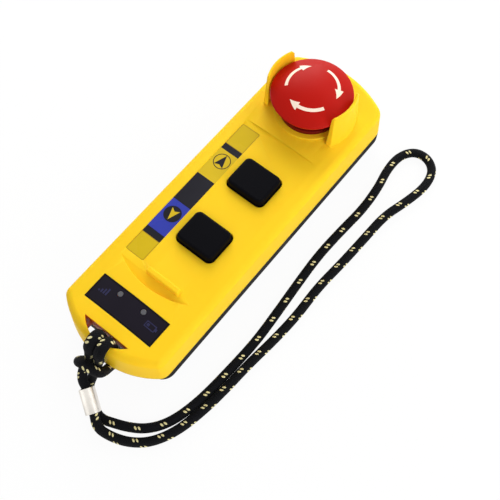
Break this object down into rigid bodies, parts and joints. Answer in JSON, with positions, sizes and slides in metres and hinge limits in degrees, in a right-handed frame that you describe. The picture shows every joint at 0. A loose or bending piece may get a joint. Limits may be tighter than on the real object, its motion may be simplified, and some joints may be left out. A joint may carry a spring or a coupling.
{
  "type": "crane radio remote control",
  "caption": "Hand-held crane hoist transmitter with push keys for up and down, a guarded mushroom emergency stop, status lamps and a corded wrist lanyard.",
  "frame": {"origin": "middle of the case's underside, where it lies on a table", "axes": "+X across the case to the right, +Y from the lanyard end to the emergency stop, +Z out of the keypad"},
  "size_m": [0.0947, 0.213, 0.052],
  "materials": {
    "yellow_plastic": "fine satin moulding grain",
    "black_plastic": "satin moulded plastic",
    "key_plastic": "satin keys",
    "red_plastic": "semi-gloss with pale arrows",
    "seal_rubber": "soft matt rubber",
    "film": "printed polycarbonate film",
    "dark_film": "printed polycarbonate film",
    "lens": "frosted light guide",
    "board": "solder-masked glass laminate",
    "chip": "moulded chip package",
    "steel": "plated steel",
    "cell": "plain sleeved dry cell",
    "cord": "black braid with yellow flecks",
    "crimp": "pressed sleeve"
  },
  "bodies": {
    "housing": {"upper_housing": "yellow_plastic", "lower_housing": "black_plastic", "housing_gasket": "seal_rubber", "housing_screws": "steel", "board_screws": "steel", "up_button_spring": "steel", "up_switch": "chip", "down_button_spring": "steel", "down_switch": "chip", "button_seals": "seal_rubber", "label_strip": "film", "led_label": "dark_film", "led_lenses": "lens", "status_leds": "lens", "main_board": "board", "radio_module": "steel", "controller_chip": "chip", "aerial": "steel", "batteries": "cell", "battery_plates": "steel", "battery_leaves": "steel", "estop_bush": "black_plastic", "estop_seal": "seal_rubber", "estop_nut": "black_plastic", "estop_spring": "steel", "estop_contact_block": "black_plastic", "terminal_screws": "steel", "lanyard_cord": "cord", "lanyard_crimp": "crimp"},
    "estop_plunger": {"estop_stem": "steel"},
    "estop_cap": {"estop_head": "red_plastic"},
    "up_key": {"up_button": "key_plastic"},
    "down_key": {"down_button": "key_plastic"},
    "door": {"battery_door": "black_plastic"}
  },
  "joints": [
    {"name": "estop_push", "type": "slide", "parent": "housing", "child": "estop_plunger", "axis": [0, 0, -1], "range_m": [0, 0.004], "stiffness_N_per_m": 1500, "springref_m": -0.003, "deforming": ["estop_spring"]},
    {"name": "estop_twist", "type": "hinge", "parent": "estop_plunger", "child": "estop_cap", "pos_m": [0, 0.0623, 0.045], "axis": [0, 0, -1], "range_deg": [0, 45], "stiffness_Nm_per_rad": 0.05},
    {"name": "up_press", "type": "slide", "parent": "housing", "child": "up_key", "axis": [0, 0, -1], "range_m": [0, 0.0018], "stiffness_N_per_m": 500, "springref_m": -0.003, "deforming": ["up_button_spring"]},
    {"name": "down_press", "type": "slide", "parent": "housing", "child": "down_key", "axis": [0, 0, -1], "range_m": [0, 0.0018], "stiffness_N_per_m": 500, "springref_m": -0.003, "deforming": ["down_button_spring"]},
    {"name": "door_slide", "type": "slide", "parent": "housing", "child": "door", "axis": [0, -1, 0], "range_m": [0, 0.012]}
  ]
}
